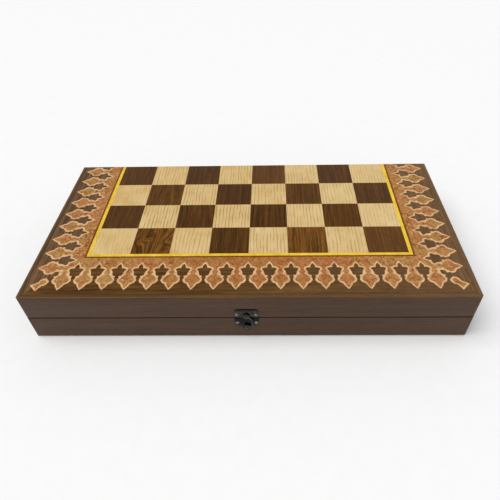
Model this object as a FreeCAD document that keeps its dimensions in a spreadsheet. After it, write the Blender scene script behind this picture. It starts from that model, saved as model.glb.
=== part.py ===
import FreeCAD, Part
import math
import os

import Sketcher
from FreeCAD import Placement, Rotation, Vector

# Folding backgammon case with stones and dice.
# Frame: origin at the middle of the closed case's underside, +X right, +Y to the hinge side, +Z up.
# The base half is modelled in place; the lid half is its mirror image about the seam plane.

doc = FreeCAD.newDocument("backgammon_set")
sheet = doc.addObject("Spreadsheet::Sheet", "dims")

DIMENSIONS = {
    "case_length": 500,
    "case_width": 254,
    "half_height": 34,
    "rail_thick": 12,
    "lip_width": 6,
    "veneer_thick": 1,
    "panel_thick": 5,
    "square_size": 46.5,
    "string_width": 4.5,
    "shade_width": 2.5,
    "point_thick": 0.8,
    "point_reach": 190,
    "point_gap": 2,
    "hinge_offset": 150,
    "hinge_length": 50,
    "hinge_clear": 0.25,
    "knuckle_radius": 3,
    "knuckle_length": 16.5,
    "knuckle_relief": 0.15,
    "knuckle_gap": 0.1,
    "leaf_thick": 1.2,
    "leaf_width": 10,
    "pin_radius": 1.5,
    "pin_clear": 0.05,
    "screw_radius": 1.1,
    "screw_head": 2.2,
    "screw_length": 8,
    "screw_tip": 2,
    "hinge_screw_spread": 18,
    "clasp_offset": -1.3,
    "plate_thick": 0.6,
    "plate_width": 27,
    "plate_gap": 0.6,
    "lid_plate_height": 14,
    "pivot_height": 38,
    "stud_drop": 17.5,
    "rivet_radius": 1.7,
    "rivet_depth": 4,
    "collar_radius": 2.6,
    "collar_thick": 0.6,
    "hook_thick": 0.95,
    "hook_gap": 0.05,
    "hook_width": 3,
    "neck_radius": 2,
    "dome_radius": 3.4,
    "dome_height": 1,
    "clasp_screw_depth": 7,
    "clasp_screw_dome": 0.5,
    "stone_radius": 17,
    "stone_thick": 9,
    "stone_pitch": 34.5,
    "stone_margin": 1.5,
    "die_size": 12,
    "die_round": 1.5,
}
for row, (alias, value) in enumerate(DIMENSIONS.items(), 1):
    sheet.set(f"A{row}", alias)
    sheet.set(f"B{row}", str(value))
    sheet.setAlias(f"B{row}", alias)
doc.recompute()


def dim(expression):
    return float(sheet.evalExpression(expression))


LENGTH = dim("dims.case_length")
WIDTH = dim("dims.case_width")
SEAM = dim("dims.half_height")
FLOOR = dim("dims.veneer_thick + dims.panel_thick")
VENEER = dim("dims.veneer_thick")
SQUARE = dim("dims.square_size")
REAR = WIDTH / 2
FRONT = -WIDTH / 2
UP = Vector(0, 0, 1)
OUT = Vector(0, -1, 0)

nodes = []


def keep(obj, label):
    obj.Label = label
    nodes.append(obj)
    return obj


# ---- helpers -------------------------------------------------------------------------------

def sketch_outline(body, role, corners):
    # Closed outline whose corners are pairs of expressions on the spreadsheet.
    plane = [f for f in body.Origin.OriginFeatures if f.Role == role][0]
    sketch = body.newObject("Sketcher::SketchObject", body.Name + "_outline")
    sketch.AttachmentSupport = [(plane, "")]
    sketch.MapMode = "FlatFace"
    places = [(dim(x), dim(y)) for x, y in corners]
    count = len(places)
    for i in range(count):
        start = Vector(*places[i], 0)
        end = Vector(*places[(i + 1) % count], 0)
        sketch.addGeometry(Part.LineSegment(start, end))
    for i in range(count):
        sketch.addConstraint(Sketcher.Constraint("Coincident", i, 2, (i + 1) % count, 1))
    for i in range(count):
        for kind, size, expression in zip(("DistanceX", "DistanceY"), places[i], corners[i]):
            index = sketch.addConstraint(Sketcher.Constraint(kind, i, 1, size))
            sketch.setExpression(f"Constraints[{index}]", expression)
    return sketch


def padded_body(name, corners, thickness):
    body = doc.addObject("PartDesign::Body", name)
    sketch = sketch_outline(body, "XY_Plane", corners)
    pad = body.newObject("PartDesign::Pad", name + "_pad")
    pad.Profile = sketch
    pad.setExpression("Length", thickness)
    return body


def pocket(body, corners, depth):
    sketch = sketch_outline(body, "XY_Plane", corners)
    cut = body.newObject("PartDesign::Pocket", body.Name + "_pocket")
    cut.Profile = sketch
    cut.setExpression("Length", depth)
    cut.Reversed = True


def mirrored(source, name):
    # Image of a base-half object in the seam plane.
    image = doc.addObject("Part::Mirroring", name)
    image.Source = source
    image.Normal = UP
    image.setExpression("Base.z", "dims.half_height")
    return image


def mirrored_sideways(source, name):
    image = doc.addObject("Part::Mirroring", name)
    image.Source = source
    image.Normal = Vector(1, 0, 0)
    return image


def compound(name, links):
    group = doc.addObject("Part::Compound", name)
    group.Links = links
    return group


def cut_from(name, base, tool):
    result = doc.addObject("Part::Cut", name)
    result.Base = base
    result.Tool = tool
    return result


def fused(name, pieces):
    result = doc.addObject("Part::MultiFuse", name)
    result.Shapes = pieces
    return result


def box(name, size, corner):
    solid = doc.addObject("Part::Box", name)
    for prop, expression in zip(("Length", "Width", "Height"), size):
        solid.setExpression(prop, expression)
    for axis, expression in zip("xyz", corner):
        solid.setExpression(f".Placement.Base.{axis}", expression)
    return solid


def cylinder(name, radius, height, centre, turn=Rotation()):
    solid = doc.addObject("Part::Cylinder", name)
    solid.setExpression("Radius", radius)
    solid.setExpression("Height", height)
    solid.Placement = Placement(Vector(), turn)
    for axis, expression in zip("xyz", centre):
        solid.setExpression(f".Placement.Base.{axis}", expression)
    return solid


def feature(name, shape, place=Placement()):
    solid = doc.addObject("Part::Feature", name)
    solid.Shape = shape
    solid.Placement = place
    return solid


def prism(outlines, bottom, height):
    # Straight solid on a closed outline; further outlines are holes in it.
    wires = []
    for outline in outlines:
        points = [Vector(x, y, bottom) for x, y in outline]
        wires.append(Part.makePolygon(points + points[:1]))
    face = Part.makeFace(wires, "Part::FaceMakerBullseye")
    return face.extrude(Vector(0, 0, height))


# ---- case rails and panels -----------------------------------------------------------------

HALF_X = "dims.case_length / 2"
HALF_Y = "dims.case_width / 2"
INNER_X = "(dims.case_length / 2 - dims.rail_thick)"
INNER_Y = "(dims.case_width / 2 - dims.rail_thick)"
LIP_X = "(dims.case_length / 2 - dims.lip_width)"
LIP_Y = "(dims.case_width / 2 - dims.lip_width)"
FLOOR_Z = "(dims.veneer_thick + dims.panel_thick)"


def front_rail():
    # Mitred at both ends, with a rebate underneath for the panel and its veneer.
    corners = [(f"-{HALF_X}", f"-{HALF_Y}"), (HALF_X, f"-{HALF_Y}"),
               (INNER_X, f"-{INNER_Y}"), (f"-{INNER_X}", f"-{INNER_Y}")]
    body = padded_body("front_rail_blank", corners, "dims.half_height")
    rebate = [(f"-{LIP_X}", f"-{LIP_Y}"), (LIP_X, f"-{LIP_Y}"),
              (LIP_X, f"-{INNER_Y}"), (f"-{LIP_X}", f"-{INNER_Y}")]
    pocket(body, rebate, FLOOR_Z)
    return body


def end_rail():
    # Mitred at the front, square at the hinge side, with the same rebate.
    corners = [(HALF_X, f"-{HALF_Y}"), (HALF_X, HALF_Y), (INNER_X, HALF_Y), (INNER_X, f"-{INNER_Y}")]
    body = padded_body("end_rail_blank", corners, "dims.half_height")
    rebate = [(INNER_X, f"-{LIP_Y}"), (LIP_X, f"-{LIP_Y}"), (LIP_X, HALF_Y), (INNER_X, HALF_Y)]
    pocket(body, rebate, FLOOR_Z)
    return body


def back_rail():
    # Stands on the panel between the end rails and carries the hinges.
    return box("back_rail_blank",
               ("dims.case_length - 2 * dims.rail_thick", "dims.rail_thick",
                "dims.half_height - dims.veneer_thick - dims.panel_thick"),
               (f"-{INNER_X}", INNER_Y, FLOOR_Z))


def point_triangles():
    # Six tapering points at each end, flush with the floor of the tray.
    inner_x = dim(INNER_X)
    inner_y = dim(INNER_Y)
    pitch = 2 * inner_y / 6
    half_base = (pitch - dim("dims.point_gap")) / 2
    reach = dim("dims.point_reach")
    thick = dim("dims.point_thick")
    solids = []
    for side in (-1, 1):
        for k in range(6):
            y = -inner_y + (k + 0.5) * pitch
            outline = [(side * inner_x, y - half_base), (side * inner_x, y + half_base),
                       (side * (inner_x - reach), y)]
            solids.append(prism([outline], FLOOR - thick, thick))
    return Part.makeCompound(solids)


# ---- marquetry -----------------------------------------------------------------------------

# The leaf pattern is a wave between the walnut border and the burl band, drawn as two edges with
# a maple line between them. Each edge runs from the axis of a dark leaf (0) to the axis of the
# next burl leaf (half a pitch away); the second number is the distance out from the chessboard.
SIDE_PITCH = 24.5
FRONT_PITCH = 24.4
FRONT_SHIFT = 1.3
HALF_PITCH = 12.2
WALNUT_EDGE = [(0, 17.6), (2.3, 21.4), (2.7, 22.6), (6.2, 23.0), (8.4, 24.9), (6.6, 27.0),
               (5.6, 31.6), (4.4, 33.8), (1.9, 35.0), (2.9, 37.4), (1.5, 40.3), (2.2, 43.0),
               (5.0, 45.8), (6.8, 46.8), (9.2, 51.0), (HALF_PITCH, 55.0)]
BURL_EDGE = [(0, 12.6), (3.0, 16.5), (5.2, 19.8), (9.0, 21.3), (10.9, 24.0), (9.3, 28.6),
             (10.9, 31.8), (10.2, 34.4), (7.2, 36.5), (4.4, 40.6), (5.6, 42.8), (9.3, 45.2),
             (10.7, 48.5), (HALF_PITCH, 50.7)]
# Where the side and front waves meet: distance beyond the last burl axis, and how far out.
WALNUT_CORNER = (6.3, 28.0)
BURL_CORNER = (2.9, 25.0)
SIDE_LEAVES = 8
FRONT_LEAVES = 8

SPOOL_OUTER = [(20.4, 6.2), (29.7, 3.9), (33.2, 5.4), (38.4, 3.6)]
SPOOL_INNER = [(22.6, 3.5), (29.7, 1.9), (33.4, 3.2), (36.4, 1.9)]


def quarter_wave(edge, corner):
    # From the hinge edge down the right side, round the front corner, to the middle of the front.
    grid_x = 4 * SQUARE
    grid_y = REAR - 4 * SQUARE
    reach, corner_out = corner
    stretch = SIDE_PITCH / 2 / HALF_PITCH
    path = []

    def side(u, v):
        path.append((grid_x + v, REAR - u))

    def front(u, v):
        path.append((u, grid_y - v - FRONT_SHIFT))

    for k in range(SIDE_LEAVES + 1):
        start = k * SIDE_PITCH
        for u, v in edge:
            side(start + u * stretch, v)
        if k < SIDE_LEAVES:
            for u, v in reversed(edge[1:-1]):
                side(start + SIDE_PITCH - u * stretch, v)
    last_side = (SIDE_LEAVES + 0.5) * SIDE_PITCH
    last_front = (FRONT_LEAVES + 0.5) * FRONT_PITCH
    outer = [point for point in edge[:-1] if point[1] > corner_out]
    for u, v in reversed(outer):
        side(last_side + (HALF_PITCH - u) * stretch, v)
    path.append((last_front + reach, REAR - last_side - reach))
    for u, v in outer:
        front(last_front + HALF_PITCH - u, v)
    for k in range(FRONT_LEAVES, -1, -1):
        start = k * FRONT_PITCH
        for u, v in reversed(edge):
            front(start + u, v)
        if k > 0:
            for u, v in edge[1:-1]:
                front(start - u, v)
    return path


def whole_wave(edge, corner):
    right = quarter_wave(edge, corner)
    left = [(-x, y) for x, y in reversed(right[:-1])]
    return right + left


def spool(half_outline, side):
    # Small waisted piece on the mitre, measured along the diagonal from the case's corner.
    outline = half_outline + [(s, -w) for s, w in reversed(half_outline)]
    root = math.sqrt(2)
    return [(side * (LENGTH / 2 - (s + w) / root), FRONT + (s - w) / root) for s, w in outline]


def rect(x0, y0, x1, y1):
    return [(x0, y0), (x1, y0), (x1, y1), (x0, y1)]


def horseshoe(inner, outer):
    # Band round three sides of the chessboard, open at the hinge edge.
    grid_x = 4 * SQUARE
    grid_y = REAR - 4 * SQUARE
    return [(grid_x + inner, REAR), (grid_x + outer, REAR), (grid_x + outer, grid_y - outer),
            (-grid_x - outer, grid_y - outer), (-grid_x - outer, REAR), (-grid_x - inner, REAR),
            (-grid_x - inner, grid_y - inner), (grid_x + inner, grid_y - inner)]


def squares(parity):
    solids = []
    for column in range(8):
        for row in range(4):
            if (column + row) % 2 == parity:
                x = (column - 4) * SQUARE
                y = REAR - (row + 1) * SQUARE
                solids.append(prism([rect(x, y, x + SQUARE, y + SQUARE)], 0, VENEER))
    return solids


def walnut_veneer(parity):
    lip = dim("dims.lip_width")
    wave = whole_wave(WALNUT_EDGE, WALNUT_CORNER)
    border = wave + [(-LENGTH / 2 + lip, REAR), (-LENGTH / 2 + lip, FRONT + lip),
                     (LENGTH / 2 - lip, FRONT + lip), (LENGTH / 2 - lip, REAR)]
    holes = [spool(SPOOL_OUTER, side) for side in (-1, 1)]
    return Part.makeCompound([prism([border] + holes, 0, VENEER)] + squares(parity))


def light_veneer(parity):
    outer = whole_wave(WALNUT_EDGE, WALNUT_CORNER)
    inner = whole_wave(BURL_EDGE, BURL_CORNER)
    solids = [prism([outer + inner[::-1]], 0, VENEER)]
    for side in (-1, 1):
        solids.append(prism([spool(SPOOL_OUTER, side), spool(SPOOL_INNER, side)], 0, VENEER))
    return Part.makeCompound(solids + squares(parity))


def burl_veneer():
    strings = dim("dims.string_width + dims.shade_width")
    wave = whole_wave(BURL_EDGE, BURL_CORNER)
    grid_x = 4 * SQUARE + strings
    grid_y = REAR - 4 * SQUARE - strings
    inner = [(-grid_x, REAR), (-grid_x, grid_y), (grid_x, grid_y), (grid_x, REAR)]
    solids = [prism([wave + inner], 0, VENEER)]
    for side in (-1, 1):
        solids.append(prism([spool(SPOOL_INNER, side)], 0, VENEER))
    return Part.makeCompound(solids)


def stringing():
    string = dim("dims.string_width")
    shade = dim("dims.shade_width")
    return Part.makeCompound([prism([horseshoe(0, string)], 0, VENEER),
                              prism([horseshoe(string, string + shade)], 0, VENEER)])


# ---- fasteners -----------------------------------------------------------------------------

def turned(profile):
    # Solid of revolution. The profile gives (radius, height) pairs up the axis from zero.
    pairs = [(0, profile[0][1])] + profile + [(0, profile[-1][1])]
    points = [Vector(r, 0, z) for r, z in pairs]
    face = Part.Face(Part.makePolygon(points + points[:1]))
    return face.revolve(Vector(), UP, 360)


def facing(at, direction):
    return Placement(at, Rotation(UP, direction))


def countersunk_screw(at, direction):
    head = dim("dims.screw_head")
    shank = dim("dims.screw_radius")
    length = dim("dims.screw_length")
    tip = dim("dims.screw_tip")
    depth = head - shank
    screw = turned([(shank * 0.4, -length), (shank, tip - length), (shank, -depth), (head, 0)])
    screw.Placement = facing(at, direction)
    return screw


def domed_screw(at, direction):
    head = dim("dims.screw_head")
    shank = dim("dims.screw_radius")
    depth = dim("dims.clasp_screw_depth")
    dome = dim("dims.clasp_screw_dome")
    tip = dim("dims.screw_tip")
    screw = turned([(shank * 0.4, -depth), (shank, tip - depth), (shank, 0), (head, 0),
                    (head * 0.9, dome * 0.5), (head * 0.5, dome)])
    screw.Placement = facing(at, direction)
    return screw


def domed_rivet(neck):
    # Shank in the wood, collar on the plate, neck through the hook, dome on top.
    collar = dim("dims.collar_radius")
    plate = dim("dims.plate_thick")
    shank = dim("dims.rivet_radius")
    depth = dim("dims.rivet_depth")
    collar_top = plate + dim("dims.collar_thick")
    head = collar_top + dim("dims.hook_thick + 2 * dims.hook_gap")
    dome = dim("dims.dome_radius")
    rise = dim("dims.dome_height")
    profile = [(shank, -depth), (shank, plate), (collar, plate), (collar, collar_top),
               (neck, collar_top), (neck, head), (dome, head), (dome, head + rise * 0.3),
               (dome * 0.8, head + rise * 0.75), (dome * 0.4, head + rise)]
    return turned(profile)


# ---- hinges --------------------------------------------------------------------------------

HINGE_SIDES = (-1, 1)
AXIS_Y = "(dims.case_width / 2 + dims.hinge_clear)"
ALONG_X = Rotation(UP, Vector(1, 0, 0))


def x_cylinder(name, radius, start, length):
    return cylinder(name, radius, length, (start, AXIS_Y, "dims.half_height"), ALONG_X)


def hinge_centre(side):
    return f"({side} * dims.hinge_offset)"


def knuckle_spans(side):
    # Three knuckles: the outer two belong to the base, the middle one to the lid.
    centre = hinge_centre(side)
    outer = "(dims.hinge_length / 2)"
    inner = "(dims.hinge_length / 2 - dims.knuckle_length)"
    base = [(f"{centre} - {outer}", "dims.knuckle_length"),
            (f"{centre} + {inner}", "dims.knuckle_length")]
    lid = [(f"{centre} - {inner} + dims.knuckle_gap",
            "2 * (dims.hinge_length / 2 - dims.knuckle_length - dims.knuckle_gap)")]
    return base, lid


def leaf_solid(name, side, spans, below):
    # Flat leaf let into the rail's edge, with its own knuckles round the pin.
    relief = "(dims.knuckle_radius + dims.knuckle_relief)"
    bottom = "dims.half_height - dims.leaf_thick" if below else "dims.half_height"
    start_y = f"{HALF_Y} - dims.leaf_width"
    flat = box(name + "_flat",
               ("dims.hinge_length", f"{AXIS_Y} - {relief} - ({start_y})", "dims.leaf_thick"),
               (f"{hinge_centre(side)} - dims.hinge_length / 2", start_y, bottom))
    pieces = [flat]
    for i, (start, length) in enumerate(spans):
        pieces.append(box(f"{name}_tongue{i}", (length, relief, "dims.leaf_thick"),
                          (start, f"{AXIS_Y} - {relief}", bottom)))
        pieces.append(x_cylinder(f"{name}_knuckle{i}", "dims.knuckle_radius", start, length))
    return fused(name + "_blank", pieces)


def hinge_screw_places(side):
    y = REAR - dim("dims.leaf_width") / 2 - 1
    spread = dim("dims.hinge_screw_spread")
    centre = dim(hinge_centre(side))
    return [Vector(centre - spread, y, SEAM), Vector(centre + spread, y, SEAM)]


def bore(name, radius, side):
    # Hole for the pin along one hinge.
    return x_cylinder(name, radius, f"{hinge_centre(side)} - dims.hinge_length / 2 - 1",
                      "dims.hinge_length + 2")


def hinge_mortise(side, below, name):
    # Space cut in a rail for a leaf and for the knuckles.
    relief = "(dims.knuckle_radius + dims.knuckle_relief)"
    bottom = "dims.half_height - dims.leaf_thick" if below else "dims.half_height"
    flat = box(name + "_flat", ("dims.hinge_length", "dims.leaf_width + 1", "dims.leaf_thick"),
               (f"{hinge_centre(side)} - dims.hinge_length / 2", f"{HALF_Y} - dims.leaf_width",
                bottom))
    barrel = x_cylinder(name + "_barrel", relief,
                        f"{hinge_centre(side)} - dims.hinge_length / 2 - dims.knuckle_gap",
                        "dims.hinge_length + 2 * dims.knuckle_gap")
    return [flat, barrel]


# ---- clasp ---------------------------------------------------------------------------------

CLASP_X = dim("dims.clasp_offset")
PIVOT_Z = dim("dims.pivot_height")
STUD_Z = dim("dims.pivot_height - dims.stud_drop")
PLATE_SCREW_SPREAD = 10.6
LID_SCREW_Z = PIVOT_Z + 1.6
BASE_SCREW_Z = STUD_Z + 5.5


def on_front(x, z, proud=0.0):
    return Vector(CLASP_X + x, FRONT - proud, z)


def plate_screws(height):
    plate = dim("dims.plate_thick")
    return [domed_screw(on_front(x, height, plate), OUT)
            for x in (-PLATE_SCREW_SPREAD, PLATE_SCREW_SPREAD)]


def standing_prism(outline, back, thick):
    # Outline in (across, up) raised from the front face; back is how proud its rear surface is.
    points = [on_front(x, z, back) for x, z in outline]
    face = Part.Face(Part.makePolygon(points + points[:1]))
    return face.extrude(OUT * thick)


def lid_plate_shape():
    half = dim("dims.plate_width") / 2
    low = SEAM + dim("dims.plate_gap")
    high = low + dim("dims.lid_plate_height")
    outline = [(-half, low), (half, low), (half, high - 4), (half - 1.2, high - 1.2),
               (half - 4, high), (4 - half, high), (1.2 - half, high - 1.2), (-half, high - 4)]
    return standing_prism(outline, 0, dim("dims.plate_thick"))


def base_plate_shape():
    # Full width under the seam, then a waist and a rounded tongue round the stud.
    half = dim("dims.plate_width") / 2
    top = SEAM - dim("dims.plate_gap")
    right = [(half, top), (half, STUD_Z + 3.6), (half - 1.2, STUD_Z + 1.2), (half - 4, STUD_Z),
             (half - 7.5, STUD_Z - 0.6), (5.0, STUD_Z - 3.5), (3.6, STUD_Z - 7.2),
             (1.6, STUD_Z - 9.3)]
    outline = right + [(-x, z) for x, z in reversed(right)]
    return standing_prism(outline, 0, dim("dims.plate_thick"))


def arc_band(centre, radius, start, end, width):
    # Flat ring sector in the (across, up) plane, angles in degrees.
    def at(r, angle):
        turn = math.radians(angle)
        return Vector(centre[0] + r * math.cos(turn), 0, centre[1] + r * math.sin(turn))

    outer = radius + width / 2
    inner = radius - width / 2
    middle = (start + end) / 2
    edges = [Part.Arc(at(outer, start), at(outer, middle), at(outer, end)).toShape(),
             Part.makeLine(at(outer, end), at(inner, end)),
             Part.Arc(at(inner, end), at(inner, middle), at(inner, start)).toShape(),
             Part.makeLine(at(inner, start), at(outer, start))]
    return Part.Face(Part.Wire(edges))


BOW_END = -45
NOSE_END = -98


def hook_shape():
    # Seen from the front the arm bows to the right of the stud and turns under it. Its three arcs
    # meet tangentially: bow, cradle round the stud, and a nose concentric with the pivot.
    drop = dim("dims.stud_drop")
    width = dim("dims.hook_width")
    thick = dim("dims.hook_thick")
    cradle = dim("dims.neck_radius") + 0.4 + width / 2
    turn = math.radians(BOW_END)
    direction = (math.cos(turn), math.sin(turn))
    # The bow passes through the pivot and meets the cradle at 45 degrees below the stud's right.
    shift = (drop ** 2 - cradle ** 2) / (2 * (cradle - drop * direction[1]))
    bow_centre = (-shift * direction[0], -drop - shift * direction[1])
    bow_radius = cradle + shift
    bow_start = math.degrees(math.atan2(-bow_centre[1], -bow_centre[0]))
    faces = [
        arc_band(bow_centre, bow_radius, BOW_END, bow_start, width),
        arc_band((0, -drop), cradle, -90, BOW_END, width),
        arc_band((0, 0), drop + cradle, NOSE_END, -90, width),
    ]
    solids = [face.extrude(OUT * thick) for face in faces]
    eye = Part.makeCylinder(dim("dims.dome_radius") + 0.6, thick, Vector(), OUT)
    nose_turn = math.radians(NOSE_END)
    nose_at = Vector(math.cos(nose_turn), 0, math.sin(nose_turn)) * (drop + cradle)
    nose = Part.makeCylinder(width / 2, thick, nose_at, OUT)
    hook = eye.fuse(solids + [nose]).removeSplitter()
    hole = Part.makeCylinder(dim("dims.rivet_radius + dims.hook_gap"), thick, Vector(), OUT)
    return hook.cut(hole)


# ---- stones and dice -----------------------------------------------------------------------

def stone(name, label, x, y):
    # Turned disc with a rounded rim and a shallow dish on both faces.
    body = doc.addObject("PartDesign::Body", name)
    radius = "dims.stone_radius"
    thick = "dims.stone_thick"
    corners = [("0", "0.8"), (f"{radius} * 0.5", "0.8"), (f"{radius} * 0.62", "0"),
               (f"{radius} - 1.6", "0"), (f"{radius} - 0.4", "0.8"), (radius, "2.4"),
               (radius, f"{thick} - 2.4"), (f"{radius} - 0.4", f"{thick} - 0.8"),
               (f"{radius} - 1.6", thick), (f"{radius} * 0.62", thick),
               (f"{radius} * 0.5", f"{thick} - 0.8"), ("0", f"{thick} - 0.8")]
    sketch = sketch_outline(body, "XZ_Plane", corners)
    spin = body.newObject("PartDesign::Revolution", name + "_spin")
    spin.Profile = sketch
    spin.ReferenceAxis = (sketch, ["V_Axis"])
    spin.Angle = 360
    body.Placement = Placement(Vector(x, y, FLOOR), Rotation())
    return keep(body, label)


def die(name, label, x, y, turn):
    cube = doc.addObject("Part::Box", name + "_cube")
    for prop in ("Length", "Width", "Height"):
        cube.setExpression(prop, "dims.die_size")
    rounded = doc.addObject("Part::Fillet", name)
    rounded.Base = cube
    radius = dim("dims.die_round")
    rounded.Edges = [(i, radius, radius) for i in range(1, 13)]
    half = dim("dims.die_size") / 2
    spin = Rotation(UP, turn)
    rounded.Placement = Placement(Vector(x, y, FLOOR) - spin.multVec(Vector(half, half, 0)), spin)
    return keep(rounded, label)


# ---- assembly ------------------------------------------------------------------------------

hinge_screws = []
for hinge_side in HINGE_SIDES:
    hinge_screws += [countersunk_screw(at, UP) for at in hinge_screw_places(hinge_side)]
base_screws_shape = Part.makeCompound(hinge_screws + plate_screws(BASE_SCREW_Z))
lid_hinge_screws = Part.makeCompound(hinge_screws).mirror(Vector(0, 0, SEAM), UP)
lid_screws_shape = Part.makeCompound(lid_hinge_screws.Solids + plate_screws(LID_SCREW_Z))
base_screws = keep(feature("base_screws", base_screws_shape), "base_screws")
lid_screws = keep(feature("lid_screws", lid_screws_shape), "lid_screws")

clasp_pivot = keep(feature("clasp_pivot", domed_rivet(dim("dims.rivet_radius")),
                           facing(on_front(0, PIVOT_Z), OUT)), "clasp_pivot")
clasp_stud = keep(feature("clasp_stud", domed_rivet(dim("dims.neck_radius")),
                          facing(on_front(0, STUD_Z), OUT)), "clasp_stud")
hook_back = dim("dims.plate_thick + dims.collar_thick + dims.hook_gap")
keep(feature("clasp_hook", hook_shape(), Placement(on_front(0, PIVOT_Z, hook_back), Rotation())),
     "clasp_hook")

for half_name, plate_shape, rivet, screws in (
        ("lid", lid_plate_shape(), clasp_pivot, lid_screws),
        ("base", base_plate_shape(), clasp_stud, base_screws)):
    blank = feature(f"{half_name}_plate_blank", plate_shape)
    holes = compound(f"{half_name}_plate_holes", [rivet, screws])
    keep(cut_from(f"clasp_{half_name}_plate", blank, holes), f"clasp_{half_name}_plate")

base_leaves = []
lid_leaves = []
pins = []
for hinge_side in HINGE_SIDES:
    tag = "left" if hinge_side < 0 else "right"
    base_spans, lid_spans = knuckle_spans(hinge_side)
    base_blank = leaf_solid(f"base_leaf_{tag}", hinge_side, base_spans, True)
    lid_blank = leaf_solid(f"lid_leaf_{tag}", hinge_side, lid_spans, False)
    tight = bore(f"base_bore_{tag}", "dims.pin_radius", hinge_side)
    loose = bore(f"lid_bore_{tag}", "dims.pin_radius + dims.pin_clear", hinge_side)
    base_leaves.append(cut_from(f"base_leaf_{tag}", base_blank, tight))
    lid_leaves.append(cut_from(f"lid_leaf_{tag}", lid_blank, loose))
    pins.append(x_cylinder(f"pin_{tag}", "dims.pin_radius",
                           f"{hinge_centre(hinge_side)} - dims.hinge_length / 2",
                           "dims.hinge_length"))
keep(cut_from("hinge_base_leaves", compound("base_leaf_pair", base_leaves), base_screws),
     "hinge_base_leaves")
keep(cut_from("hinge_lid_leaves", compound("lid_leaf_pair", lid_leaves), lid_screws),
     "hinge_lid_leaves")
keep(compound("hinge_pins", pins), "hinge_pins")

base_front_blank = front_rail()
base_end_blank = end_rail()
base_back_blank = back_rail()
left_end_blank = mirrored_sideways(base_end_blank, "left_end_rail")
base_ends = compound("base_end_pair", [base_end_blank, left_end_blank])
keep(base_ends, "base_end_rails")
keep(mirrored(base_ends, "lid_end_pair"), "lid_end_rails")

front_holes = compound("base_front_holes", [base_screws, clasp_stud])
keep(cut_from("base_front_cut", base_front_blank, front_holes), "base_front_rail")
lid_front_blank = mirrored(base_front_blank, "lid_front_blank")
lid_front_holes = compound("lid_front_holes", [lid_screws, clasp_pivot])
keep(cut_from("lid_front_cut", lid_front_blank, lid_front_holes), "lid_front_rail")

for half_name, blank, screws, below in (
        ("base", base_back_blank, base_screws, True),
        ("lid", mirrored(base_back_blank, "lid_back_blank"), lid_screws, False)):
    tools = [screws]
    for hinge_side in HINGE_SIDES:
        tag = "left" if hinge_side < 0 else "right"
        tools += hinge_mortise(hinge_side, below, f"{half_name}_mortise_{tag}")
    tool = compound(f"{half_name}_back_tools", tools)
    keep(cut_from(f"{half_name}_back_cut", blank, tool), f"{half_name}_back_rail")

base_points = keep(feature("base_points", point_triangles()), "base_points")
keep(mirrored(base_points, "lid_points_image"), "lid_points")
panel_blank = box("panel_blank",
                  ("dims.case_length - 2 * dims.lip_width", "dims.case_width - dims.lip_width",
                   "dims.panel_thick"),
                  (f"-{LIP_X}", f"-{LIP_Y}", "dims.veneer_thick"))
base_panel = keep(cut_from("panel_cut", panel_blank, base_points), "base_panel")
keep(mirrored(base_panel, "lid_panel_image"), "lid_panel")

# The square at the left of the hinge row is walnut on the lid and ash underneath, so that the
# two halves make one alternating chessboard when the case is opened flat and turned over.
for half_name, dark in (("base", 1), ("lid", 0)):
    veneers = {
        "walnut_veneer": walnut_veneer(dark),
        "light_veneer": light_veneer(1 - dark),
        "burl_veneer": burl_veneer(),
        "string_line": stringing(),
    }
    for veneer_name, shape in veneers.items():
        sheet_of_wood = feature(f"{half_name}_{veneer_name}_sheet", shape)
        if half_name == "lid":
            sheet_of_wood = mirrored(sheet_of_wood, f"{veneer_name}_image")
        keep(sheet_of_wood, f"{half_name}_{veneer_name}")

# Stones lie in one layer, five on each of three points at either end.
inner_end = dim(INNER_X)
point_pitch = 2 * dim(INNER_Y) / 6
stone_radius = dim("dims.stone_radius")
stone_pitch = dim("dims.stone_pitch")
first_stone = inner_end - dim("dims.stone_margin") - stone_radius
for colour, end, rows in (("light", -1, (-2.5, -0.5, 1.5)), ("dark", 1, (-1.5, 0.5, 2.5))):
    for i in range(15):
        row_y = rows[i // 5] * point_pitch
        along = first_stone - (i % 5) * stone_pitch
        stone(f"{colour}_{i + 1:02d}", f"stone_{colour}_{i + 1:02d}", end * along, row_y)
die("first_die", "die_1", -11, -14, 20)
die("second_die", "die_2", 13, 9, -35)

doc.recompute()

for obj in doc.Objects:
    if "Invalid" in obj.State or "Error" in obj.State:
        raise RuntimeError(f"{obj.Label} did not build: {obj.State}")

os.makedirs("parts", exist_ok=True)
labels = [obj.Label for obj in nodes]
if len(set(labels)) != len(labels):
    raise RuntimeError("two nodes share a name")
for obj in nodes:
    if obj.Shape.isNull() or not obj.Shape.isValid():
        raise RuntimeError(f"{obj.Label} has no valid shape")
    obj.Shape.exportStep(f"parts/{obj.Label}.step")
    print(obj.Label, len(obj.Shape.Solids), round(obj.Shape.Volume, 1))
print(len(nodes), "nodes")
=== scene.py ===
import math

import bmesh
import bpy
from mathutils import Matrix, Vector


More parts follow.
